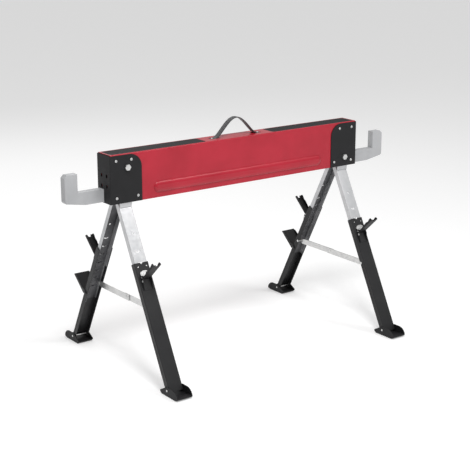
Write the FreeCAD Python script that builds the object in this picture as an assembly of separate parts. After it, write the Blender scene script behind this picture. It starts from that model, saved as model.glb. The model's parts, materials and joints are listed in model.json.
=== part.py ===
"""Folding sawhorse: a sheet-steel beam on two folding leg pairs.

Millimetres, +Z up, X along the beam, front at -Y, origin on the floor under the beam's middle.
Each leg pair hangs on a bolt through the beam. It is drawn standing: the legs are spread, the
height is locked in the third slot, and every foot is flat on the floor.

A leg is drawn in its own frame first: hinge axis at the origin, leg straight down -Z, outer face
to -Y, inner side of the sawhorse to +X. place_leg() then spreads it and puts it on the sawhorse.
"""
import FreeCAD, Part
import math
import os

Vec = FreeCAD.Vector
X_AXIS, Y_AXIS, Z_AXIS = Vec(1, 0, 0), Vec(0, 1, 0), Vec(0, 0, 1)

# ---- beam ----
BEAM_LENGTH = 990.0
BEAM_HEIGHT = 153.0
SHELL_HALF = 35.8            # half width over the folded sheet
SHEET = 1.4
RIM = 4.8                    # width of the raised rim beside the pads
TRAY_DEPTH = 3.0
TRAY_CORNER = 9.0
PLATEAU_HALF = 134.0         # half length of the raised middle of the top
RIB_LENGTH, RIB_HEIGHT, RIB_RISE = 676.0, 34.0, 6.2
RIB_MID_Z = 34.0             # above the beam's bottom edge
RIB_SECTIONS = (0, 20, 40, 56, 70)              # degrees round the rib's half-oval section

# ---- end caps and their fasteners ----
CAP_LENGTH = 113.0
CAP_HEIGHT = 150.0
CAP_WALL = 2.2
CAP_END_WALL = 3.0
CAP_CORNER = 42.0
SCREW_TOP = (22.0, 133.5), (76.0, 133.5)       # from the beam's end, above its bottom
SCREW_BOTTOM = (22.0, 18.0), (98.0, 18.0)
SCREW_HEAD_R, SCREW_HEAD_H, SCREW_SHANK_R = 4.3, 1.8, 1.8
SCREW_SOCKET_R = 2.3
END_SLOT_Y = (-17.0, 13.0)
END_SLOT_Z = (53.0, 86.0)
END_SLOT_SIZE = (9.0, 11.0)

# ---- leg pairs ----
LEG_INSET = 56.0             # leg centre from the beam's end
BOLT_INSET = {"left": 61.0, "right": 53.0}
BOLT_Z = {"left": 110.5, "right": 31.5}        # above the beam's bottom: the pairs fold in two layers
BOLT_R = 5.0
BOLT_HEX_R, BOLT_HEAD_H, NUT_H = 10.2, 6.4, 8.0
BUSH_R = 8.0
RUN = 0.05                   # radial running clearance
SPREAD = 27.4                # leg angle from upright, degrees
HINGE_Y = 11.5               # hinge axis from the middle plane
HINGE_Z = 4.0                # hinge axis above the beam's bottom
HINGE_PIN_R = 3.5

# ---- leg sections: distances along the leg are from the hinge axis ----
LOWER_HALF, LOWER_OUT, LOWER_IN = 25.0, 10.0, 10.0
UPPER_HALF, UPPER_OUT, UPPER_IN = 22.0, 7.6, 9.6
LEG_WALL = 2.0
UPPER_WEB_TOP = 14.0
UPPER_END = 431.0
LOWER_TOP = 203.0
FIRST_SLOT = 168.2
SLOT_PITCH = 34.4
SLOT_COUNT = 7
SLOT_HALF = 8.0
LOCK_SLOT = 2                # the third slot from the top
TONGUE_HALF = 15.5
LOCK_S = FIRST_SLOT + LOCK_SLOT * SLOT_PITCH

# ---- latch ----
GUIDE_S, GUIDE_X = 216.0, 15.0             # small guide rivets on the leg's face
LEVER_S = 250.0
LEVER_OFF = 6.0              # lever pivot outside the leg's face
LEVER_OPEN = 74.6            # degrees from the leg
LEVER_LENGTH = 83.0
LEVER_HALF = 13.4
LEVER_PIN_R = 2.5
LEVER_ROUND_R, LEVER_SKIN = 5.5, 2.0
EAR_HALF = 16.2
EAR_WALL = 2.0

# ---- brace ----
BRACE_S = 358.0
BRACE_IN = 5.0               # brace pivot towards the other leg, from the hinge line
BRACE_PIN_R = 2.5
BRACE_HALF = 9.5             # half height of the strap
BRACE_THICK = 3.0
BRACE_LAP = 14.0             # strap beyond the middle rivet
BRACE_X = {"front": 15.6, "rear": 12.2}        # near face of each strap, from the leg's centre

# ---- support plate, rear legs only ----
PLATE_S = 396.0
PLATE_IN = -2.0
PLATE_OPEN = 76.0
PLATE_LENGTH = 82.0
PLATE_HALF = 27.4
PLATE_PIN_R = 3.0

# ---- foot ----
FOOT_S = 599.0
FOOT_IN = -2.5
FOOT_PIVOT_Z = 18.5          # foot pivot above the floor
FOOT_HALF = 27.9
FOOT_WALL = 2.5
FOOT_HEEL, FOOT_TOE = 38.0, 54.0
FOOT_PIN_R = 3.0

# ---- support arms ----
ARM_THICK = 26.0
ARM_MID_Y = 15.0
ARM_BOTTOM, ARM_TOP = 3.0, 43.0                # above the beam's bottom
ARM_GAP = 89.0               # from the beam's end to the upright
ARM_REACH = 133.0
UPRIGHT_TOP = 102.0
ARM_SHANK = 24.0             # length held inside the end cap

# ---- carrying handle ----
HANDLE_WIDTH = 22.0
HANDLE_THICK = 3.2
HANDLE_RISE = 61.0
HANDLE_FOOT = 84.0           # half distance between the strap's feet
HANDLE_TAB = 14.0            # length of the flat end under each rivet

SPREAD_RAD = math.radians(SPREAD)
BEAM_BOTTOM = (FOOT_PIVOT_Z - HINGE_Z + FOOT_S * math.cos(SPREAD_RAD)
               + FOOT_IN * math.sin(SPREAD_RAD))
BEAM_TOP = BEAM_BOTTOM + BEAM_HEIGHT
INNER_HALF = SHELL_HALF - SHEET


# ---------------------------------------------------------------- small shapes
def box(x0, x1, y0, y1, z0, z1):
    return Part.makeBox(x1 - x0, y1 - y0, z1 - z0, Vec(x0, y0, z0))


def rod(radius, start, end):
    start, end = Vec(*start), Vec(*end)
    return Part.makeCylinder(radius, (end - start).Length, start, end - start)


def prism_x(outline, x0, x1):
    """Extrude a (y, z) outline along X."""
    wire = Part.makePolygon([Vec(x0, y, z) for y, z in outline + outline[:1]])
    return Part.Face(wire).extrude(Vec(x1 - x0, 0, 0))


def prism_y(outline, y0, y1):
    """Extrude an (x, z) outline along Y."""
    wire = Part.makePolygon([Vec(x, y0, z) for x, z in outline + outline[:1]])
    return Part.Face(wire).extrude(Vec(0, y1 - y0, 0))


def fuse(shapes):
    first, *rest = shapes
    return first.multiFuse(rest).removeSplitter() if rest else first


def cut(shape, tools):
    return shape.cut(Part.makeCompound(tools))


def round_edges(shape, radius, choose):
    """Fillet the edges that choose(edge) accepts."""
    edges = [edge for edge in shape.Edges if choose(edge)]
    return shape.makeFillet(radius, edges)


def along(edge, axis):
    ends = [vertex.Point for vertex in edge.Vertexes]
    return len(ends) == 2 and abs((ends[1] - ends[0]).normalize().dot(axis)) > 0.999


def rounded_block(x0, x1, y0, y1, z0, z1, radius, axis=Z_AXIS):
    block = box(x0, x1, y0, y1, z0, z1)
    return round_edges(block, radius, lambda edge: along(edge, axis))


def mirror_x(shape):
    return shape.mirror(Vec(0, 0, 0), X_AXIS)


def mirror_y(shape):
    return shape.mirror(Vec(0, 0, 0), Y_AXIS)


def save(name, shapes):
    """Write one node: a single solid, or a group of separate solids."""
    solids = []
    for shape in shapes if isinstance(shapes, list) else [shapes]:
        solids += shape.Solids
    node = solids[0] if len(solids) == 1 else Part.makeCompound(solids)
    if not node.isValid():
        raise ValueError(name + " is not valid")
    node.exportStep(os.path.join("parts", name + ".step"))


# ---------------------------------------------------------------- places on the sawhorse
def leg_x(end):
    inset = LEG_INSET - BEAM_LENGTH / 2
    return inset if end == "left" else -inset


def bolt_x(end):
    inset = BOLT_INSET[end] - BEAM_LENGTH / 2
    return inset if end == "left" else -inset


def bolt_z(end):
    return BEAM_BOTTOM + BOLT_Z[end]


def place_leg(shape, end, side):
    """Move a shape from the leg's own frame to its place on the standing sawhorse."""
    placed = shape.copy()
    placed.rotate(Vec(0, 0, 0), X_AXIS, -SPREAD)
    placed.translate(Vec(0, -HINGE_Y, BEAM_BOTTOM + HINGE_Z))
    if side == "rear":
        placed = mirror_y(placed)
    if end == "right":
        placed = mirror_x(placed)
    placed.translate(Vec(leg_x(end), 0, 0))
    return placed


def leg_point(end, side, distance, inward=0.0):
    """World point on a leg's middle line, at a distance below its hinge."""
    y = -HINGE_Y - distance * math.sin(SPREAD_RAD) + inward * math.cos(SPREAD_RAD)
    z = BEAM_BOTTOM + HINGE_Z - distance * math.cos(SPREAD_RAD) - inward * math.sin(SPREAD_RAD)
    return Vec(leg_x(end), y if side == "front" else -y, z)


# ---------------------------------------------------------------- beam
def tray(sign, grow, depth):
    """The pad recess in one half of the top, grown sideways by the sheet's thickness."""
    x0, x1 = PLATEAU_HALF - grow, BEAM_LENGTH / 2 - CAP_END_WALL - RIM + grow
    half = SHELL_HALF - RIM + grow
    shape = rounded_block(x0, x1, -half, half, BEAM_TOP - depth, BEAM_TOP + 5,
                          TRAY_CORNER + grow)
    return shape if sign > 0 else mirror_x(shape)


def handle_pocket(sign, grow, depth):
    x0, x1 = HANDLE_FOOT - 18 - grow, HANDLE_FOOT + HANDLE_TAB + 3 + grow
    half = HANDLE_WIDTH / 2 + 1.2 + grow
    shape = rounded_block(x0, x1, -half, half, BEAM_TOP - depth, BEAM_TOP + 5, 5 + grow)
    return shape if sign > 0 else mirror_x(shape)


def stadium(half_length, half_height, y, z):
    """Wire of a slot shape with half-round ends, in a plane across Y."""
    straight = half_length - half_height
    low, high, end = z - half_height, z + half_height, half_length
    arcs = [Part.Arc(Vec(sign * straight, y, sign_z * half_height + z), Vec(sign * end, y, z),
                     Vec(sign * straight, y, -sign_z * half_height + z)).toShape()
            for sign, sign_z in ((1, -1), (-1, 1))]
    lines = [Part.makeLine(Vec(-straight, y, low), Vec(straight, y, low)),
             Part.makeLine(Vec(straight, y, high), Vec(-straight, y, high))]
    return Part.Wire([lines[0], arcs[0], lines[1], arcs[1]])


def rib(side, shrink):
    """A raised half-oval rib on one side wall, lofted through slot shapes."""
    wires = []
    for degrees in RIB_SECTIONS:
        half_height = (RIB_HEIGHT / 2 - shrink) * math.cos(math.radians(degrees))
        half_length = RIB_LENGTH / 2 - (RIB_HEIGHT / 2 - half_height)
        rise = RIB_RISE * math.sin(math.radians(degrees)) / math.sin(math.radians(RIB_SECTIONS[-1]))
        y = -(SHELL_HALF - shrink + rise)
        wires.append(stadium(half_length, half_height, y, BEAM_BOTTOM + RIB_MID_Z))
    shape = Part.makeLoft(wires, True, True)
    return shape if side == "front" else mirror_y(shape)


def beam_shell():
    end_x = BEAM_LENGTH / 2 - CAP_END_WALL
    outer = box(-end_x, end_x, -SHELL_HALF, SHELL_HALF, BEAM_BOTTOM, BEAM_TOP)
    outer = round_edges(outer, 3.2, lambda edge: along(edge, X_AXIS)
                        and edge.BoundBox.ZMin > BEAM_TOP - 1)
    ribs = [rib(side, 0) for side in ("front", "rear")]
    pockets = [make(sign, 0, TRAY_DEPTH) for make in (tray, handle_pocket) for sign in (-1, 1)]
    body = cut(fuse([outer] + ribs), pockets)
    inside = box(-end_x - 1, end_x + 1, -INNER_HALF, INNER_HALF, BEAM_BOTTOM - 1, BEAM_TOP - SHEET)
    floors = [make(sign, SHEET, TRAY_DEPTH + SHEET) for make in (tray, handle_pocket)
              for sign in (-1, 1)]
    hollow = fuse([cut(inside, floors)] + [rib(side, SHEET) for side in ("front", "rear")])
    holes = [bolt_hole(end) for end in ("left", "right")]
    holes += [rod(2.1, (x, 0, BEAM_TOP - 9), (x, 0, BEAM_TOP)) for x in handle_rivet_x()]
    for end in ("left", "right"):
        holes += [rod(SCREW_SHANK_R + 0.1, (x, -SHELL_HALF - 1, z), (x, SHELL_HALF + 1, z))
                  for x, z in screw_places(end)]
    return cut(body, [hollow] + holes)


def bolt_hole(end):
    return rod(BOLT_R + RUN, (bolt_x(end), -SHELL_HALF - 9, bolt_z(end)),
               (bolt_x(end), SHELL_HALF + 9, bolt_z(end)))


def pad(sign):
    """Rubber strip lying in one tray."""
    gap = 0.25
    x0, x1 = PLATEAU_HALF + gap, BEAM_LENGTH / 2 - CAP_END_WALL - RIM - gap
    half = SHELL_HALF - RIM - gap
    block = rounded_block(x0, x1, -half, half, BEAM_TOP - TRAY_DEPTH + 0.1, BEAM_TOP - 0.3,
                          TRAY_CORNER - gap)
    return block if sign > 0 else mirror_x(block)


def screw_places(end):
    sign = -1 if end == "left" else 1
    return [(sign * (BEAM_LENGTH / 2 - inset), BEAM_BOTTOM + z)
            for inset, z in SCREW_TOP + SCREW_BOTTOM]


def cap_cheek(y0, y1):
    """Side plate of the right end cap, with its big round upper inner corner."""
    x1 = BEAM_LENGTH / 2
    x0 = x1 - CAP_LENGTH
    plate = box(x0, x1, y0, y1, BEAM_BOTTOM, BEAM_BOTTOM + CAP_HEIGHT)
    return round_edges(plate, CAP_CORNER, lambda edge: along(edge, Y_AXIS)
                       and edge.BoundBox.XMax < x0 + 1 and edge.BoundBox.ZMin > BEAM_BOTTOM + 9)


def arm_sleeve(grow, x0, x1):
    """Box around a support arm's shank at the right end."""
    return box(x0, x1, -ARM_MID_Y - ARM_THICK / 2 - grow, -ARM_MID_Y + ARM_THICK / 2 + grow,
               BEAM_BOTTOM + ARM_BOTTOM - grow, BEAM_BOTTOM + ARM_TOP + grow)


def end_cap(end):
    """Moulded cap: two side plates, an end plate and a sleeve for the support arm."""
    x1 = BEAM_LENGTH / 2
    out = SHELL_HALF + CAP_WALL
    front, rear = cap_cheek(-out, -SHELL_HALF), cap_cheek(SHELL_HALF, out)
    end_plate = box(x1 - CAP_END_WALL, x1, -out, out, BEAM_BOTTOM, BEAM_BOTTOM + CAP_HEIGHT)
    sleeve = arm_sleeve(2.4, x1 - CAP_END_WALL - ARM_SHANK + 3, x1)
    cap = fuse([front, rear, end_plate, sleeve])
    cap = round_edges(cap, 2.0, lambda edge: along(edge, Z_AXIS) and edge.BoundBox.XMin > x1 - 0.5
                      and abs(edge.BoundBox.YMin) > out - 0.5)
    tools = [arm_sleeve(0.4, x1 - 60, x1 + 1)]
    wide, tall = END_SLOT_SIZE
    for y in END_SLOT_Y:
        for z in END_SLOT_Z:
            tools.append(box(x1 - 9, x1 + 1, -y - wide / 2, -y + wide / 2,
                             BEAM_BOTTOM + z - tall / 2, BEAM_BOTTOM + z + tall / 2))
    for x, z in screw_places("right"):
        tools.append(rod(SCREW_SHANK_R + 0.1, (x, -out - 1, z), (x, out + 1, z)))
    tools.append(rod(BOLT_R + RUN, (abs(bolt_x(end)), -out - 1, bolt_z(end)),
                     (abs(bolt_x(end)), out + 1, bolt_z(end))))
    cap = cut(cap, tools)
    if end == "left":
        cap.rotate(Vec(0, 0, 0), Z_AXIS, 180)
    return cap


def cap_screws():
    """Socket screws that hold the end caps, front and rear."""
    screws = []
    face = SHELL_HALF + CAP_WALL
    for end in ("left", "right"):
        for x, z in screw_places(end):
            shank = rod(SCREW_SHANK_R, (x, -face, z), (x, -INNER_HALF + 0.6, z))
            head = rod(SCREW_HEAD_R, (x, -face, z), (x, -face - SCREW_HEAD_H, z))
            head = head.makeFillet(1.1, [edge for edge in head.Edges
                                         if edge.BoundBox.YMax < -face - SCREW_HEAD_H + 0.1])
            socket = hexagon(SCREW_SOCKET_R, x, z, -face - 2, -face - 0.6)
            screw = cut(fuse([shank, head]), [socket])
            screws += [screw, mirror_y(screw)]
    return screws


def hexagon(radius, x, z, y0, y1):
    corners = [(x + radius * math.cos(math.radians(60 * i)),
                z + radius * math.sin(math.radians(60 * i))) for i in range(6)]
    return prism_y(corners, y0, y1)


def pivot_bolt(end):
    """Hexagon bolt that a leg pair swings on."""
    x, z = bolt_x(end), bolt_z(end)
    face = SHELL_HALF + CAP_WALL
    shank = rod(BOLT_R, (x, -face, z), (x, face + 9.5, z))
    return fuse([shank, hexagon(BOLT_HEX_R, x, z, -face - BOLT_HEAD_H, -face)])


def pivot_nut(end):
    x, z = bolt_x(end), bolt_z(end)
    face = SHELL_HALF + CAP_WALL
    nut = hexagon(BOLT_HEX_R, x, z, face, face + NUT_H)
    return cut(nut, [rod(BOLT_R + RUN, (x, face - 1, z), (x, face + 12, z))])


# ---------------------------------------------------------------- handle
def handle_rivet_x():
    place = HANDLE_FOOT + HANDLE_TAB / 2 + 1
    return (-place, place)


def handle_height(x):
    """Height of the webbing above its tabs: a rounded arch that leaves the tabs level."""
    return HANDLE_RISE * abs(math.cos(math.pi * x / (2 * HANDLE_FOOT))) ** 1.5


def handle_line(x, lift):
    """A point of the webbing at x, moved off its underside by lift."""
    step = 0.5
    slope = (handle_height(min(x + step, HANDLE_FOOT)) - handle_height(max(x - step, -HANDLE_FOOT)))
    slope /= 2 * step
    norm = math.hypot(1, slope)
    if abs(x) == HANDLE_FOOT:
        slope, norm = 0, 1
    return Vec(x - lift * slope / norm, -HANDLE_WIDTH / 2, BEAM_TOP + handle_height(x) + lift / norm)


def carry_handle():
    """Webbing arch with a flat tab at each end, riveted into the top's pockets."""
    base = BEAM_TOP - TRAY_DEPTH + 0.1
    drop = Vec(0, 0, base - BEAM_TOP)
    steps = [HANDLE_FOOT * (i / 12 - 1) for i in range(25)]
    edges = []
    ends = []
    for lift in (0, HANDLE_THICK):
        points = [handle_line(x, lift) + drop for x in steps]
        curve = Part.BSplineCurve()
        curve.interpolate(points)
        edges.append(curve.toShape())
        ends.append((points[0], points[-1]))
    edges += [Part.makeLine(low, high) for low, high in zip(*ends)]
    arch = Part.Face(Part.Wire(Part.__sortEdges__(edges))).extrude(Vec(0, HANDLE_WIDTH, 0))
    strap = [arch]
    for sign in (-1, 1):
        x0, x1 = sorted((sign * HANDLE_FOOT, sign * (HANDLE_FOOT + HANDLE_TAB)))
        strap.append(box(x0, x1, -HANDLE_WIDTH / 2, HANDLE_WIDTH / 2, base, base + HANDLE_THICK))
    holes = [rod(2.1, (x, 0, base - 1), (x, 0, base + 9)) for x in handle_rivet_x()]
    return cut(fuse(strap), holes)


def handle_rivets():
    rivets = []
    top = BEAM_TOP - TRAY_DEPTH + 0.1 + HANDLE_THICK
    for x in handle_rivet_x():
        head = Part.makeSphere(5.0, Vec(x, 0, top - 3.2)).common(
            box(x - 9, x + 9, -9, 9, top, top + 9))
        shank = rod(2.0, (x, 0, top - 5.2), (x, 0, top + 0.5))
        rivets.append(fuse([head, shank]))
    return rivets


# ---------------------------------------------------------------- support arms
def support_arm(end):
    """Hooked arm: a shank in the end cap, a level arm and an upright."""
    x1 = BEAM_LENGTH / 2
    z0 = BEAM_BOTTOM
    outline = [(x1 - CAP_END_WALL - ARM_SHANK, z0 + ARM_BOTTOM), (x1 + 66, z0 + ARM_BOTTOM),
               (x1 + ARM_REACH - 4, z0 + 14), (x1 + ARM_REACH, z0 + 19),
               (x1 + ARM_REACH, z0 + UPRIGHT_TOP - 9), (x1 + ARM_REACH - 9, z0 + UPRIGHT_TOP),
               (x1 + ARM_GAP, z0 + UPRIGHT_TOP), (x1 + ARM_GAP, z0 + ARM_TOP),
               (x1 - CAP_END_WALL - ARM_SHANK, z0 + ARM_TOP)]
    arm = prism_y(outline, -ARM_MID_Y - ARM_THICK / 2, -ARM_MID_Y + ARM_THICK / 2)
    arm = round_edges(arm, 2.0, lambda edge: edge.BoundBox.YLength < 0.1
                      and edge.BoundBox.XMin > x1 + 0.5)
    if end == "left":
        arm.rotate(Vec(0, 0, 0), Z_AXIS, 180)
    return arm


# ---------------------------------------------------------------- hanger of a leg pair
def pivot_bush(end):
    x, z = bolt_x(end), bolt_z(end)
    half = INNER_HALF - 0.5
    tube = rod(BUSH_R, (x, -half, z), (x, half, z))
    return cut(tube, [rod(BOLT_R + RUN, (x, -half - 1, z), (x, half + 1, z))])


def leg_bracket(end):
    """Box bracket: two outer plates on the bush and two cheeks that carry the hinge pins."""
    x, hinge_z = leg_x(end), BEAM_BOTTOM + HINGE_Z
    plate_out, plate_in = INNER_HALF - 1.2, INNER_HALF - 3.2
    lip_z, top_z = BEAM_BOTTOM - 14, bolt_z(end) + 15
    half = 21.5
    pieces = []
    for y0, y1 in ((-plate_out, -plate_in), (plate_in, plate_out)):
        plate = box(x - half, x + half, y0, y1, lip_z, top_z)
        pieces.append(round_edges(plate, 2.0, lambda edge: along(edge, Y_AXIS)))
    cheek = [(-plate_in, hinge_z - 5), (-HINGE_Y - 8, hinge_z - 5), (-HINGE_Y - 4, hinge_z - 9),
             (HINGE_Y + 4, hinge_z - 9), (HINGE_Y + 8, hinge_z - 5), (plate_in, hinge_z - 5),
             (plate_in, hinge_z + 15), (-plate_in, hinge_z + 15)]
    for x0 in (x - 19.4, x + 17.0):
        pieces.append(prism_x(cheek, x0, x0 + 2.4))
    bx, bz = bolt_x(end), bolt_z(end)
    tools = [rod(BUSH_R + RUN, (bx, -INNER_HALF, bz), (bx, INNER_HALF, bz))]
    for y in (-HINGE_Y, HINGE_Y):
        tools.append(rod(HINGE_PIN_R + RUN, (x - 30, y, hinge_z), (x + 30, y, hinge_z)))
    return cut(fuse(pieces), tools)


# ---------------------------------------------------------------- leg pieces, in the leg's frame
def hinge_pin():
    heads = [rod(5.2, (x, 0, 0), (x + 1.3, 0, 0)) for x in (-UPPER_HALF - 1.5, UPPER_HALF + 0.2)]
    return fuse([rod(HINGE_PIN_R, (-UPPER_HALF - 1, 0, 0), (UPPER_HALF + 1, 0, 0))] + heads)


def chevron(distance):
    """A lock slot: a shallow V cut through the upper leg's web."""
    half, drop, thick = SLOT_HALF, 3.0, 4.0
    top = -distance + (drop + thick) / 2
    outline = [(-half, top), (-half, top - thick), (0, top - thick - drop), (half, top - thick),
               (half, top), (0, top - drop)]
    return prism_y(outline, -UPPER_OUT - 1, -UPPER_OUT + LEG_WALL + 1)


def upper_leg():
    """Bright channel, open inwards, with ears at the hinge and seven lock slots."""
    body = box(-UPPER_HALF, UPPER_HALF, -UPPER_OUT, UPPER_IN, -UPPER_END, 0)
    ears = rod(9.0, (-UPPER_HALF, 0, 0), (UPPER_HALF, 0, 0))
    inner = UPPER_HALF - LEG_WALL
    tools = [box(-inner, inner, -UPPER_OUT + LEG_WALL, 30, -UPPER_END - 1, 30),
             box(-inner, inner, -30, 30, -UPPER_WEB_TOP, 30),
             rod(HINGE_PIN_R + RUN, (-40, 0, 0), (40, 0, 0)),
             rod(3.2, (0, -30, -110), (0, 0, -110))]
    tools += [chevron(FIRST_SLOT + i * SLOT_PITCH) for i in range(SLOT_COUNT)]
    # the inner flange is cut back where the brace pin passes
    tools.append(box(inner - 1, UPPER_HALF + 1, BRACE_IN - BRACE_PIN_R - 1.3, 30,
                     -UPPER_END - 1, -BRACE_S + 75))
    channel = round_edges(fuse([body, ears]), 2.0, lambda edge: along(edge, Z_AXIS)
                          and edge.BoundBox.YMax < -UPPER_OUT + 0.1)
    return cut(channel, tools)


def lower_leg():
    """Black channel that slides outside the upper leg."""
    foot_line = -FOOT_S
    outline = [(-LOWER_OUT, -LOWER_TOP), (-LOWER_OUT, foot_line - 8), (4, foot_line - 8),
               (LOWER_IN, foot_line - 2), (LOWER_IN, -LOWER_TOP)]
    body = prism_x(outline, -LOWER_HALF, LOWER_HALF)
    body = round_edges(body, 2.5, lambda edge: along(edge, Z_AXIS)
                       and edge.BoundBox.YMax < -LOWER_OUT + 0.1)
    inner = LOWER_HALF - LEG_WALL
    notch = [(-5, -LOWER_TOP + 1), (-2.5, -LOWER_TOP - 5), (2.5, -LOWER_TOP - 5),
             (5, -LOWER_TOP + 1)]
    tools = [box(-inner, inner, -LOWER_OUT + LEG_WALL, 30, foot_line - 20, 0),
             prism_y(notch, -30, 0),
             box(-6.5, 6.5, -30, 0, -LOCK_S - 3.2, -LOCK_S + 3.2),
             rod(BRACE_PIN_R + RUN, (0, BRACE_IN, -BRACE_S), (40, BRACE_IN, -BRACE_S)),
             rod(FOOT_PIN_R + RUN, (-40, FOOT_IN, -FOOT_S), (40, FOOT_IN, -FOOT_S))]
    return cut(body, tools)


def rear_lower_leg():
    hole = rod(PLATE_PIN_R + RUN, (-40, PLATE_IN, -PLATE_S), (40, PLATE_IN, -PLATE_S))
    return cut(lower_leg(), [hole])


def oval(half_width, half_height, y0, y1, z):
    """Oval plate across Y, centred on the leg."""
    ellipse = Part.Ellipse(Vec(half_width, y0, z), Vec(0, y0, z + half_height), Vec(0, y0, z))
    return Part.Face(Part.Wire(ellipse.toShape())).extrude(Vec(0, y1 - y0, 0))


def lock_tongue():
    """Zinc plunger: a dished oval plate outside the leg and a tongue for the slots."""
    face = -LOWER_OUT - 0.4
    middle = -LOCK_S - 1.5
    plate = oval(TONGUE_HALF, TONGUE_HALF * 0.6, face - 3.0, face, middle)
    plate = plate.cut(oval(TONGUE_HALF - 3.5, TONGUE_HALF * 0.6 - 2.8, face - 4, face - 1.8, middle))
    plate = plate.cut(box(-40, 40, face - 9, face + 9, -270, -LEVER_S + LEVER_PIN_R + 0.8))
    wall_x = LEVER_HALF - LEVER_SKIN - 0.3      # clears the lever's side walls as it opens
    wall_z = -LEVER_S + LEVER_ROUND_R + 0.3
    plate = plate.cut(box(wall_x, 40, face - 9, face + 9, -270, wall_z))
    plate = plate.cut(box(-40, -wall_x, face - 9, face + 9, -270, wall_z))
    boss = oval(6.0, 3.4, face - 2.6, face - 1, middle)
    tongue = box(-6, 6, face - 1, -LOWER_OUT + LEG_WALL - 0.1, -LOCK_S - 2.3, -LOCK_S + 2.3)
    return fuse([plate, boss, tongue])


def latch_bracket():
    """Black ears that carry the lever, on a base riveted to the leg's face."""
    face = -LOWER_OUT
    ear = [(face, -245), (face - 9.0, -244), (face - 11.4, -247), (face - 11.4, -262),
           (face - 8, -272), (face - 3, -290), (face, -290)]
    pieces = [prism_x(ear, x, x + EAR_WALL) for x in (-EAR_HALF, EAR_HALF - EAR_WALL)]
    pieces.append(box(-EAR_HALF, EAR_HALF, face - 1.6, face, -290, -257))
    pin = rod(LEVER_PIN_R + RUN, (-40, face - LEVER_OFF, -LEVER_S), (40, face - LEVER_OFF, -LEVER_S))
    return cut(fuse(pieces), [pin])


def rivet_head(x, y, z, sign):
    """Low round rivet head on a side face, pointing along sign * X."""
    head = rod(3.4, (x, y, z), (x + sign * 1.4, y, z))
    outer = x + sign * 1.4
    return head.makeFillet(0.9, [edge for edge in head.Edges
                                 if abs(edge.BoundBox.XMin - outer) < 0.1
                                 and abs(edge.BoundBox.XMax - outer) < 0.1])


def leg_rivets():
    """Lever pin, ear rivets, small guide rivets and foot pin of one leg."""
    face = -LOWER_OUT
    pieces = [rod(LEVER_PIN_R, (-EAR_HALF - 0.6, face - LEVER_OFF, -LEVER_S),
                  (EAR_HALF + 0.6, face - LEVER_OFF, -LEVER_S))]
    foot_pin = rod(FOOT_PIN_R, (-FOOT_HALF - 0.8, FOOT_IN, -FOOT_S),
                   (FOOT_HALF + 0.8, FOOT_IN, -FOOT_S))
    pieces.append(fuse([foot_pin] + [rivet_head(sign * (FOOT_HALF + 0.2), FOOT_IN, -FOOT_S, sign)
                                     for sign in (-1, 1)]))
    for sign in (-1, 1):
        pieces.append(rivet_head(sign * EAR_HALF, face - 6.0, -262.0, sign))
        pieces.append(rod(1.8, (sign * GUIDE_X, face - 0.7, -GUIDE_S), (sign * GUIDE_X, face, -GUIDE_S)))
    return pieces


def pose_arm(shape, distance, y, angle):
    """Turn a piece drawn lying flat up the leg outwards by angle about its pivot."""
    shape.rotate(Vec(0, 0, 0), X_AXIS, angle)
    shape.translate(Vec(0, y, -distance))
    return shape


def latch_lever():
    """Channel-shaped lever. Drawn flat up the leg about its pivot, then opened."""
    outer, skin = LEVER_ROUND_R, LEVER_SKIN
    wall = [(-outer, 0), (-outer, LEVER_LENGTH), (-1, LEVER_LENGTH), (4.6, LEVER_LENGTH - 3),
            (4.6, LEVER_LENGTH - 9), (1.5, LEVER_LENGTH - 20), (3.6, LEVER_LENGTH - 30),
            (1.5, 30), (-0.2, 24), (-0.2, 0)]
    pieces = []
    for x in (-LEVER_HALF, LEVER_HALF - skin):
        pieces.append(prism_x(wall, x, x + skin))
        pieces.append(rod(outer, (x, 0, 0), (x + skin, 0, 0)))
    pieces.append(box(-LEVER_HALF, LEVER_HALF, -outer, -outer + skin, 3, LEVER_LENGTH))
    notch_z = LEVER_LENGTH - 3.0
    notch = rod(5.2, (0, -outer - 1, notch_z), (0, -outer + skin + 1, notch_z))
    notch = notch.fuse(box(-5.2, 5.2, -outer - 1, -outer + skin + 1, notch_z, LEVER_LENGTH + 1))
    pin = rod(LEVER_PIN_R + RUN, (-40, 0, 0), (40, 0, 0))
    lever = cut(fuse(pieces), [notch, pin])
    return pose_arm(lever, LEVER_S, -LOWER_OUT - LEVER_OFF, LEVER_OPEN)


def support_plate():
    """Fold-out plate of a rear leg. Drawn flat up the leg about its pin, then opened."""
    skin = 2.0
    gap = LOWER_OUT + PLATE_IN + 0.5
    wall = [(-gap - skin, 5), (-gap - skin, PLATE_LENGTH), (-gap, PLATE_LENGTH),
            (-3.0, PLATE_LENGTH - 12), (-1.2, 46), (-1.2, 24), (4.5, 8)]
    pieces = []
    for x in (-PLATE_HALF, PLATE_HALF - skin):
        pieces.append(prism_x(wall, x, x + skin))
        pieces.append(prism_x([(-6, -4), (-6, 8), (4.5, 8), (4.5, -4), (2, -6), (-3.5, -6)],
                              x, x + skin))
    face = prism_y([(-PLATE_HALF, 7), (PLATE_HALF, 7), (PLATE_HALF, PLATE_LENGTH),
                    (-PLATE_HALF, PLATE_LENGTH)], -gap - skin, -gap)
    stubs = [rod(PLATE_PIN_R, (sign * PLATE_HALF, 0, 0), (sign * (LOWER_HALF - 1.9), 0, 0))
             for sign in (-1, 1)]
    heads = [rivet_head(sign * PLATE_HALF, 0, 0, sign) for sign in (-1, 1)]
    plate = fuse(pieces + [face] + stubs + heads)
    return pose_arm(plate, PLATE_S, PLATE_IN, PLATE_OPEN)


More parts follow.
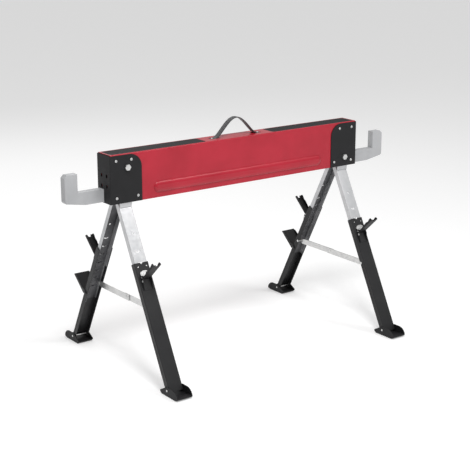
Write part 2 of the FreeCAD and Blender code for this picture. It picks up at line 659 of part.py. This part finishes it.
def foot():
    """Moulded shoe: two side walls and a cleated sole. Drawn level about its pivot."""
    z0 = -FOOT_PIVOT_Z
    sole_top = z0 + 6
    side = [(FOOT_HEEL - 7, z0 + 2), (FOOT_HEEL, z0 + 6), (FOOT_HEEL, -7), (FOOT_HEEL - 8, -3),
            (10, 8), (-3, 11), (-30, 11), (-40, 8), (-48, 2), (-FOOT_TOE + 1, -5),
            (-FOOT_TOE, -9), (-FOOT_TOE, z0 + 5), (-FOOT_TOE + 5, z0 + 2)]
    sole = [(FOOT_HEEL - 7, z0 + 2), (FOOT_HEEL, z0 + 6), (FOOT_HEEL, sole_top + 2),
            (FOOT_HEEL - 3, sole_top + 2), (FOOT_HEEL - 5, sole_top), (-FOOT_TOE + 26, sole_top),
            (-FOOT_TOE + 18, sole_top + 3.6), (-FOOT_TOE, sole_top + 3.6), (-FOOT_TOE, z0 + 5),
            (-FOOT_TOE + 5, z0 + 2)]
    walls = [prism_x(side, x, x + FOOT_WALL) for x in (-FOOT_HALF, FOOT_HALF - FOOT_WALL)]
    cleats = []
    count = 9
    span = FOOT_HEEL + FOOT_TOE - 24
    for i in range(count):
        y = FOOT_HEEL - 10 - i * span / (count - 1)
        cleats.append(prism_x([(y - 2.6, z0 + 2.2), (y - 1.8, z0), (y + 1.8, z0), (y + 2.6, z0 + 2.2)],
                              -FOOT_HALF, FOOT_HALF))
    body = fuse(walls + [prism_x(sole, -FOOT_HALF, FOOT_HALF)] + cleats)
    return cut(body, [rod(FOOT_PIN_R + RUN, (-40, 0, 0), (40, 0, 0))])


def place_foot(end, side):
    """The foot stands level, so it is only moved to its pivot."""
    shape = foot()
    if side == "rear":
        shape = mirror_y(shape)
    shape.translate(leg_point(end, side, FOOT_S, FOOT_IN))
    return shape


def brace_pin(side):
    """Shoulder rivet in the lower leg's inner flange that carries a brace strap."""
    strap_x = BRACE_X[side]
    start, end = strap_x - 1.2, LOWER_HALF + 1.4
    shank = rod(BRACE_PIN_R, (start, BRACE_IN, -BRACE_S), (end, BRACE_IN, -BRACE_S))
    inner = rod(4.0, (start - 0.2, BRACE_IN, -BRACE_S), (strap_x - 0.15, BRACE_IN, -BRACE_S))
    collar_start = strap_x + BRACE_THICK + 0.15
    collar = rod(3.4, (collar_start, BRACE_IN, -BRACE_S),
                 (LOWER_HALF - LEG_WALL - 0.15, BRACE_IN, -BRACE_S))
    outer = rod(4.2, (LOWER_HALF + 0.15, BRACE_IN, -BRACE_S), (end, BRACE_IN, -BRACE_S))
    return fuse([shank, inner, collar, outer])


def brace_strap(end, side):
    """Half of the folding cross strap, from its leg to the middle, drawn level."""
    pivot = leg_point("left", "front", BRACE_S, BRACE_IN)
    reach = -pivot.y
    x0 = BRACE_X[side]
    x1 = x0 + BRACE_THICK
    strap = fuse([box(x0, x1, 16, reach, -BRACE_HALF, BRACE_HALF),
                  prism_x([(0, -6), (16, -BRACE_HALF), (16, BRACE_HALF), (0, 6)], x0, x1),
                  rod(6.0, (x0, 0, 0), (x1, 0, 0)),
                  box(x0, x1, reach, reach + BRACE_LAP, -BRACE_HALF, BRACE_HALF)])
    tab = x1 if side == "front" else x0 - 1.1
    boss = rod(5.0, (tab, reach, 0), (tab + 1.1, reach, 0))
    strap = cut(fuse([strap, boss]), [rod(BRACE_PIN_R + RUN, (x0 - 9, 0, 0), (x1 + 9, 0, 0))])
    strap.translate(Vec(0, pivot.y, pivot.z))
    if side == "rear":
        strap = mirror_y(strap)
    if end == "right":
        strap = mirror_x(strap)
    strap.translate(Vec(leg_x(end), 0, 0))
    return strap


# ---------------------------------------------------------------- all nodes
def build_beam_group():
    save("beam_shell", beam_shell())
    save("top_pad_left", pad(-1))
    save("top_pad_right", pad(1))
    save("cap_screws", cap_screws())
    save("pivot_bolts", [pivot_bolt(end) for end in ("left", "right")])
    save("pivot_nuts", [pivot_nut(end) for end in ("left", "right")])
    save("carry_handle", carry_handle())
    save("handle_rivets", handle_rivets())
    for end in ("left", "right"):
        save("end_cap_" + end, end_cap(end))
        save("support_arm_" + end, support_arm(end))


def build_leg_pair(end):
    save("pivot_bush_" + end, pivot_bush(end))
    save("leg_bracket_" + end, leg_bracket(end))
    for side in ("front", "rear"):
        tag = "_" + side + "_" + end
        lower = lower_leg() if side == "front" else rear_lower_leg()
        pieces = {"hinge_pin": hinge_pin(), "upper_leg": upper_leg(), "lower_leg": lower,
                  "lock_tongue": lock_tongue(), "latch_bracket": latch_bracket(),
                  "latch_lever": latch_lever(), "brace_pin": brace_pin(side)}
        for name, shape in pieces.items():
            save(name + tag, place_leg(shape, end, side))
        save("leg_rivets" + tag, [place_leg(rivet, end, side) for rivet in leg_rivets()])
        save("foot" + tag, place_foot(end, side))
        save("brace_strap" + tag, brace_strap(end, side))
    save("support_plate_" + end, place_leg(support_plate(), end, "rear"))


def main():
    os.makedirs("parts", exist_ok=True)
    build_beam_group()
    for end in ("left", "right"):
        build_leg_pair(end)


main()
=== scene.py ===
"""Looks of the folding sawhorse: materials, a woven carrying handle, studio light and camera."""
import bpy
import json
import math
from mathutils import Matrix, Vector


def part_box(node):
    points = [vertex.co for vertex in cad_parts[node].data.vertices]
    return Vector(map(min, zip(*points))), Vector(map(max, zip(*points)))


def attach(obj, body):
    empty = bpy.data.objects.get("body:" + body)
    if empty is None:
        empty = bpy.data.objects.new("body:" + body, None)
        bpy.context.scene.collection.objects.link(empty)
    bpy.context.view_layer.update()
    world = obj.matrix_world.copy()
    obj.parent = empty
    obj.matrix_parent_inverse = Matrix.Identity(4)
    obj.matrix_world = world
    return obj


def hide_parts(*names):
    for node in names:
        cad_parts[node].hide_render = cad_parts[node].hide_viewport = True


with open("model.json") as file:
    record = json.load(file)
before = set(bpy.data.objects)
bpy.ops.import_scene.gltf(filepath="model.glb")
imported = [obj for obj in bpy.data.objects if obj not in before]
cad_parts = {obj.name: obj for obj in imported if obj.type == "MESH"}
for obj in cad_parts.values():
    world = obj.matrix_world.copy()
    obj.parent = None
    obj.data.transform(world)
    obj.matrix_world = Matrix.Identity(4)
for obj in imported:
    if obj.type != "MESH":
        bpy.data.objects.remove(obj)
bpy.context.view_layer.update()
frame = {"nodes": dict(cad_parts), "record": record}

# Sizes are in metres.
STRAP_THICK = 0.0030
STRAP_FOOT = 0.084           # half distance between the arch's feet
STRAP_TAB = 0.014            # flat end beyond each foot
STRAP_STEPS = 96             # along the strap
SECTION_STEPS = 28           # around its cross-section
ARCH_POWER = 1.5             # above 1, so that the arch runs out flat into the tabs
SQUARE_ACROSS, SQUARE_UP = 0.35, 0.6    # powers below 1 make the oval section squarer
THREAD = 0.0005
STITCH_INSET = 0.003         # from the strap's edge
STITCH_LENGTH = 0.9          # as a share of one step along the strap

WELD_DISTANCE = 0.00001
EDGE_WIDTH, EDGE_STEPS, EDGE_ANGLE = 0.0004, 2, 40    # broken edges; the angle is in degrees
FACE_WEIGHT = 100            # large faces decide the shading

SOFT_SPECULAR, RUBBER_SPECULAR = 0.3, 0.25
COAT_ROUGHNESS = 0.25
FINE_RELIEF = 0.0001         # depth of orange peel, scuffs, streaks and grain

WHITE = (1, 1, 1, 1)
WORLD_STRENGTH = 0.52
FLOOR_SIZE, FLOOR_COLOUR, FLOOR_GLOW = 60, (0.82, 0.82, 0.82, 1), 0.25
LIGHT_TARGET = (0, 0, 0.45)
LIGHTS = {                   # place, size and watts
    "key": ((-0.9, -1.5, 3.3), 0.8, 62),
    "fill": ((2.0, -2.7, 3.3), 1.1, 34),
    "rim": ((0.4, 3.0, 2.6), 2.0, 22),
}
CAMERA_PLACE, CAMERA_TARGET = (-2.268, -3.075, 1.447), (0.0, 0.0, 0.36)
CAMERA_LENS = 91.3           # in millimetres


# ---------------------------------------------------------------- material building blocks
def new_material(name, roughness, metallic=0.0, coat=0.0, sheen=0.0):
    """A Principled material; returns the material, its node tree and its shader node.

    A texture linked to the roughness later takes the place of the value set here."""
    material = bpy.data.materials.new(name)
    material.use_nodes = True
    shader = material.node_tree.nodes["Principled BSDF"]
    shader.inputs["Roughness"].default_value = roughness
    shader.inputs["Metallic"].default_value = metallic
    shader.inputs["Coat Weight"].default_value = coat
    shader.inputs["Coat Roughness"].default_value = COAT_ROUGHNESS
    shader.inputs["Sheen Weight"].default_value = sheen
    return material, material.node_tree, shader


def add(tree, kind, **values):
    """Add a node, setting inputs by name, with spaces written as underscores."""
    node = tree.nodes.new(kind)
    for key, value in values.items():
        node.inputs[key.replace("_", " ")].default_value = value
    return node


def coordinates(tree, output="Object", stretch=(1, 1, 1)):
    """Texture coordinates, multiplied by stretch along each axis."""
    source = tree.nodes.new("ShaderNodeTexCoord")
    mapping = add(tree, "ShaderNodeMapping", Scale=stretch)
    tree.links.new(source.outputs[output], mapping.inputs["Vector"])
    return mapping.outputs["Vector"]


def noise(tree, vector, scale, detail=3.0, roughness=0.55):
    """Cloudy noise from 0 to 1."""
    node = add(tree, "ShaderNodeTexNoise", Scale=scale, Detail=detail, Roughness=roughness)
    tree.links.new(vector, node.inputs["Vector"])
    return node.outputs["Fac"]


def cells(tree, vector, scale):
    """Flat random colour in each Voronoi cell."""
    node = add(tree, "ShaderNodeTexVoronoi", Scale=scale)
    tree.links.new(vector, node.inputs["Vector"])
    return node.outputs["Color"]


def waves(tree, vector, scale, direction):
    """Slightly uneven bands, one after another along the axis named by direction."""
    node = add(tree, "ShaderNodeTexWave", Scale=scale, Distortion=0.15, Detail=1.0)
    node.bands_direction = direction
    tree.links.new(vector, node.inputs["Vector"])
    return node.outputs["Fac"]


def remap(tree, value, low, high, start=0.3, end=0.7):
    """Turn values between start and end into values between low and high."""
    node = add(tree, "ShaderNodeMapRange", From_Min=start, From_Max=end, To_Min=low, To_Max=high)
    tree.links.new(value, node.inputs["Value"])
    return node.outputs["Result"]


def blend_colours(tree, value, dark, light, start=0.35, end=0.65):
    """Run from the dark colour at start to the light one at end."""
    ramp = tree.nodes.new("ShaderNodeValToRGB")
    ramp.color_ramp.elements[0].position = start
    ramp.color_ramp.elements[0].color = (*dark, 1)
    ramp.color_ramp.elements[1].position = end
    ramp.color_ramp.elements[1].color = (*light, 1)
    tree.links.new(value, ramp.inputs["Fac"])
    return ramp.outputs["Color"]


def mix_colours(tree, factor, first, second):
    """Blend two linked colours by a linked factor."""
    mix = tree.nodes.new("ShaderNodeMix")
    mix.data_type = "RGBA"
    factor_socket, first_socket, second_socket = mix.inputs[0], mix.inputs[6], mix.inputs[7]
    tree.links.new(factor, factor_socket)
    tree.links.new(first, first_socket)
    tree.links.new(second, second_socket)
    return mix.outputs[2]


def bump(tree, shader, layers):
    """Stack bump layers given as (height, strength, distance in metres)."""
    normal = None
    for height, strength, distance in layers:
        node = add(tree, "ShaderNodeBump", Strength=strength, Distance=distance)
        tree.links.new(height, node.inputs["Height"])
        if normal:
            tree.links.new(normal, node.inputs["Normal"])
        normal = node.outputs["Normal"]
    tree.links.new(normal, shader.inputs["Normal"])


# ---------------------------------------------------------------- materials
def powder_coat(name, dark, light, roughness, coat):
    """Sprayed paint: orange peel, faint shade drift and handling scuffs."""
    material, tree, shader = new_material(name, roughness, coat=coat)
    shader.inputs["Specular IOR Level"].default_value = SOFT_SPECULAR
    where = coordinates(tree)
    drift = noise(tree, where, 9.0)
    peel = noise(tree, where, 650.0, detail=2.0)
    along = coordinates(tree, stretch=(1.0, 1.0, 0.25))
    scuff = noise(tree, along, 70.0, detail=6.0, roughness=0.7)
    tree.links.new(blend_colours(tree, drift, dark, light), shader.inputs["Base Color"])
    tree.links.new(remap(tree, scuff, roughness + 0.08, roughness - 0.02, 0.38, 0.52),
                   shader.inputs["Roughness"])
    bump(tree, shader, [(peel, 0.10, FINE_RELIEF), (scuff, 0.02, FINE_RELIEF)])
    return material


def galvanised(name, inward=None):
    """Rolled galvanised strip: spangle, rolling streaks and patches of lighter and darker tone.

    inward is the direction a leg channel opens towards; faces that look that way get painted
    shade, a near-black colour standing in for the shadow inside the channel."""
    material, tree, shader = new_material(name, 0.34, metallic=0.85)
    where = coordinates(tree)
    spangle = cells(tree, where, 130.0)
    rolled = coordinates(tree, stretch=(22.0, 3.0, 1.0))
    streaks = noise(tree, rolled, 60.0, detail=4.0)
    patch = noise(tree, where, 14.0, detail=4.0)
    colour = blend_colours(tree, patch, (0.50, 0.51, 0.52), (0.64, 0.64, 0.65))
    if inward:
        painted_shade_mask = facing_way(tree, inward)
        # painted shade: near-black steel on the faces that look towards the channel's opening,
        # standing in for the shadow inside the channel
        painted_channel_shade = blend_colours(tree, patch, (0.055, 0.055, 0.058), (0.11, 0.11, 0.115))
        colour = mix_colours(tree, painted_shade_mask, colour, painted_channel_shade)
    tree.links.new(colour, shader.inputs["Base Color"])
    tree.links.new(remap(tree, spangle, 0.40, 0.54, 0.0, 1.0), shader.inputs["Roughness"])
    bump(tree, shader, [(streaks, 0.10, FINE_RELIEF), (spangle, 0.05, FINE_RELIEF)])
    return material


def facing_way(tree, direction):
    """1 where the surface looks along direction, in the piece's own frame."""
    source = tree.nodes.new("ShaderNodeTexCoord")
    dot = tree.nodes.new("ShaderNodeVectorMath")
    dot.operation = "DOT_PRODUCT"
    dot.inputs[1].default_value = direction
    tree.links.new(source.outputs["Normal"], dot.inputs[0])
    return remap(tree, dot.outputs["Value"], 0.0, 1.0, 0.75, 0.9)


def zinc(name):
    """Zinc-plated steel: cloudy plating with a very fine grain."""
    material, tree, shader = new_material(name, 0.28, metallic=1.0)
    where = coordinates(tree)
    cloud = noise(tree, where, 45.0, detail=4.0)
    grain = noise(tree, where, 1400.0, detail=2.0)
    tree.links.new(blend_colours(tree, cloud, (0.60, 0.60, 0.60), (0.72, 0.72, 0.71)),
                   shader.inputs["Base Color"])
    tree.links.new(remap(tree, cloud, 0.30, 0.44), shader.inputs["Roughness"])
    bump(tree, shader, [(grain, 0.15, FINE_RELIEF)])
    return material


def moulded(name, shade, roughness):
    """Moulded plastic with a spark-eroded grain."""
    material, tree, shader = new_material(name, roughness)
    shader.inputs["Specular IOR Level"].default_value = SOFT_SPECULAR
    where = coordinates(tree)
    grain = noise(tree, where, 1500.0, detail=2.0)
    cloud = noise(tree, where, 26.0, detail=4.0)
    dark = tuple(0.82 * value for value in shade)
    light = tuple(1.2 * value for value in shade)
    tree.links.new(blend_colours(tree, cloud, dark, light), shader.inputs["Base Color"])
    tree.links.new(remap(tree, cloud, roughness - 0.06, roughness + 0.08),
                   shader.inputs["Roughness"])
    bump(tree, shader, [(grain, 0.35, 0.00012)])
    return material


def ribbed_rubber(name):
    """Dull black rubber with fine ribs and a rough grain."""
    material, tree, shader = new_material(name, 0.72)
    shader.inputs["Specular IOR Level"].default_value = RUBBER_SPECULAR
    where = coordinates(tree)
    ribs = waves(tree, where, 55.0, "Y")
    grain = noise(tree, where, 1800.0, detail=2.0)
    cloud = noise(tree, where, 30.0, detail=5.0)
    tree.links.new(blend_colours(tree, cloud, (0.009, 0.009, 0.010), (0.018, 0.018, 0.019)),
                   shader.inputs["Base Color"])
    tree.links.new(remap(tree, cloud, 0.62, 0.82), shader.inputs["Roughness"])
    bump(tree, shader, [(ribs, 0.45, 0.0004), (grain, 0.3, FINE_RELIEF)])
    return material


def woven(name):
    """Nylon webbing: ribs along the strap crossed by weft picks, read from the strap's UV."""
    material, tree, shader = new_material(name, 0.6, sheen=0.25)
    uv = coordinates(tree, "UV")
    warp = waves(tree, uv, 160.0, "X")
    weft = waves(tree, uv, 210.0, "Y")
    fuzz = noise(tree, uv, 2600.0, detail=2.0)
    colour = blend_colours(tree, weft, (0.012, 0.012, 0.014), (0.042, 0.042, 0.046), 0.2, 0.8)
    tree.links.new(colour, shader.inputs["Base Color"])
    bump(tree, shader, [(warp, 0.7, 0.0004), (weft, 0.6, 0.0003), (fuzz, 0.2, FINE_RELIEF)])
    return material


MATERIALS = {
    "red_paint": powder_coat("red_powder_coat", (0.36, 0.006, 0.020), (0.43, 0.010, 0.028),
                             0.34, 0.25),
    "black_paint": powder_coat("black_powder_coat", (0.011, 0.011, 0.012), (0.018, 0.018, 0.019),
                               0.46, 0.05),
    "grey_paint": powder_coat("grey_powder_coat", (0.36, 0.365, 0.375), (0.42, 0.425, 0.435),
                              0.42, 0.15),
    "bright_steel": galvanised("galvanised_steel"),
    "zinc_steel": zinc("zinc_plate"),
    "black_plastic": moulded("black_moulding", (0.009, 0.009, 0.010), 0.55),
    "pad_rubber": ribbed_rubber("ribbed_rubber"),
    "webbing": woven("nylon_webbing"),
}


def channel_materials():
    """The upper legs' materials, one for the front legs and one for the rear legs, each with
    painted shade inside its channel.
    """
    spread = math.atan2(*leg_slope())
    inward = (0.0, math.cos(spread), -math.sin(spread))
    front = galvanised("galvanised_front_leg_painted_shade", inward)
    rear = galvanised("galvanised_rear_leg_painted_shade", (0.0, -inward[1], inward[2]))
    return {"front": front, "rear": rear}


def leg_slope():
    """Sideways and downward run of a front leg, from the hinge pin to the foot."""
    hinge, shoe = (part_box(name + "_front_left") for name in ("hinge_pin", "foot"))
    across = (hinge[0][1] + hinge[1][1]) / 2 - (shoe[0][1] + shoe[1][1]) / 2
    return across, hinge[0][2] - shoe[0][2]


def dress_frame():
    """Give every CAD node its material and softly broken edges."""
    channels = channel_materials()
    slots = {part["node"]: part["material_slot"] for part in frame["record"]["subparts"]}
    for node, piece in frame["nodes"].items():
        piece.data.materials.clear()
        material = MATERIALS[slots[node]]
        if node.startswith("upper_leg"):
            material = channels["front" if "front" in node else "rear"]
        piece.data.materials.append(material)
        break_edges(piece)


def break_edges(piece):
    """Weld the mesh, bevel its sharp edges and keep its flat faces flat in the shading."""
    weld = piece.modifiers.new("weld", "WELD")
    weld.merge_threshold = WELD_DISTANCE
    edge = piece.modifiers.new("edge", "BEVEL")
    edge.width = EDGE_WIDTH
    edge.segments = EDGE_STEPS
    edge.limit_method = "ANGLE"
    edge.angle_limit = math.radians(EDGE_ANGLE)
    normals = piece.modifiers.new("normals", "WEIGHTED_NORMAL")
    normals.weight = FACE_WEIGHT
    normals.keep_sharp = True


# ---------------------------------------------------------------- carrying handle
def strap_line(low, high):
    """Centre points of the webbing: tab, arch and tab, from the CAD handle's box."""
    rise = high.z - low.z - STRAP_THICK
    base = low.z + STRAP_THICK / 2
    reach = STRAP_FOOT + STRAP_TAB
    points = []
    for i in range(STRAP_STEPS + 1):
        x = reach * (2 * i / STRAP_STEPS - 1)
        inside = min(abs(x), STRAP_FOOT) / STRAP_FOOT
        lift = abs(math.cos(math.pi / 2 * inside)) ** ARCH_POWER
        points.append(Vector((x, 0, base + rise * lift)))
    return points


def strap_section(half_width):
    """Flattened oval cross-section, as (across, up) pairs."""
    section = []
    for i in range(SECTION_STEPS):
        angle = 2 * math.pi * i / SECTION_STEPS
        across = math.copysign(abs(math.cos(angle)) ** SQUARE_ACROSS, math.cos(angle))
        up = math.copysign(abs(math.sin(angle)) ** SQUARE_UP, math.sin(angle))
        section.append((half_width * across, STRAP_THICK / 2 * up))
    return section


def sweep(name, points, section):
    """Sweep a section along points in the XZ plane, with a UV map in metres."""
    vertices, faces, uvs = [], [], []
    travel = 0.0
    for i, point in enumerate(points):
        before, after = points[max(i - 1, 0)], points[min(i + 1, len(points) - 1)]
        tangent = (after - before).normalized()
        up = Vector((-tangent.z, 0, tangent.x))
        travel += (point - points[i - 1]).length if i else 0.0
        for across, lift in section:
            vertices.append(point + up * lift + Vector((0, across, 0)))
            uvs.append((across, travel))
    ring = len(section)
    for i in range(len(points) - 1):
        for j in range(ring):
            k = (j + 1) % ring
            faces.append((i * ring + j, i * ring + k, (i + 1) * ring + k, (i + 1) * ring + j))
    faces.append(tuple(range(ring)))
    faces.append(tuple(range(len(vertices) - 1, len(vertices) - 1 - ring, -1)))
    mesh = bpy.data.meshes.new(name)
    mesh.from_pydata(vertices, [], faces)
    layer = mesh.uv_layers.new(name="strap")
    for loop in mesh.loops:
        layer.data[loop.index].uv = uvs[loop.vertex_index]
    mesh.polygons.foreach_set("use_smooth", [True] * len(mesh.polygons))
    mesh.validate()
    piece = bpy.data.objects.new(name, mesh)
    bpy.context.collection.objects.link(piece)
    return piece


def stitch_row(name, points, lift, across):
    """A row of short raised stitches lying on the strap beside its edge."""
    curve = bpy.data.curves.new(name, "CURVE")
    curve.dimensions = "3D"
    curve.bevel_depth = THREAD / 2
    curve.bevel_resolution = 2
    for i in range(2, len(points) - 3, 2):
        start, end = points[i], points[i].lerp(points[i + 1], STITCH_LENGTH)
        tangent = (end - start).normalized()
        up = Vector((-tangent.z, 0, tangent.x))
        spline = curve.splines.new("POLY")
        spline.points.add(2)
        crest = (start + end) / 2 + up * (lift + THREAD / 2)
        path = (start + up * lift, crest, end + up * lift)
        for knot, place in zip(spline.points, path):
            knot.co = (place.x, across, place.z, 1)
    piece = bpy.data.objects.new(name, curve)
    bpy.context.collection.objects.link(piece)
    piece.data.materials.append(MATERIALS["black_plastic"])
    return piece


def carrying_handle():
    """A woven strap with stitched edges, in place of the CAD's plain handle."""
    low, high = (Vector(corner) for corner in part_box("carry_handle"))
    points = strap_line(low, high)
    half_width = (high.y - low.y) / 2
    strap = sweep("webbing_handle", points, strap_section(half_width))
    strap.data.materials.append(MATERIALS["webbing"])
    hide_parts("carry_handle")
    pieces = [strap]
    edge = half_width - STITCH_INSET
    for end, across in (("front", -edge), ("rear", edge)):
        pieces.append(stitch_row("handle_stitches_" + end, points, STRAP_THICK / 2, across))
    for piece in pieces:
        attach(piece, "beam")


# ---------------------------------------------------------------- studio
def floor():
    """A wide white floor with a faint glow, which lightens the backdrop."""
    bpy.ops.mesh.primitive_plane_add(size=FLOOR_SIZE, location=(0, 0, 0))
    plane = bpy.context.object
    plane.name = "studio_floor"
    material, _, shader = new_material("studio_white", 0.85)
    shader.inputs["Base Color"].default_value = FLOOR_COLOUR
    shader.inputs["Emission Color"].default_value = WHITE
    shader.inputs["Emission Strength"].default_value = FLOOR_GLOW
    plane.data.materials.append(material)


def area_light(name, place, size, power):
    """A square light that looks at LIGHT_TARGET."""
    light = bpy.data.lights.new(name, "AREA")
    light.size = size
    light.energy = power
    lamp = bpy.data.objects.new(name, light)
    lamp.location = place
    sight = Vector(LIGHT_TARGET) - Vector(place)
    lamp.rotation_euler = sight.to_track_quat("-Z", "Y").to_euler()
    bpy.context.collection.objects.link(lamp)


def lighting():
    """A bright white studio: an even sky and three soft lights."""
    bpy.context.scene.view_settings.view_transform = "Standard"
    world = bpy.data.worlds.new("studio")
    world.use_nodes = True
    background = world.node_tree.nodes["Background"]
    background.inputs["Color"].default_value = WHITE
    background.inputs["Strength"].default_value = WORLD_STRENGTH
    bpy.context.scene.world = world
    for name, (place, size, power) in LIGHTS.items():
        area_light(name, place, size, power)


def camera():
    """Three-quarter view from the front left, looking down by about 16 degrees."""
    data = bpy.data.cameras.new("camera")
    data.lens = CAMERA_LENS
    eye = bpy.data.objects.new("camera", data)
    eye.location = CAMERA_PLACE
    sight = Vector(CAMERA_TARGET) - Vector(CAMERA_PLACE)
    eye.rotation_euler = sight.to_track_quat("-Z", "Y").to_euler()
    bpy.context.collection.objects.link(eye)
    bpy.context.scene.camera = eye


dress_frame()
carrying_handle()
floor()
lighting()
camera()
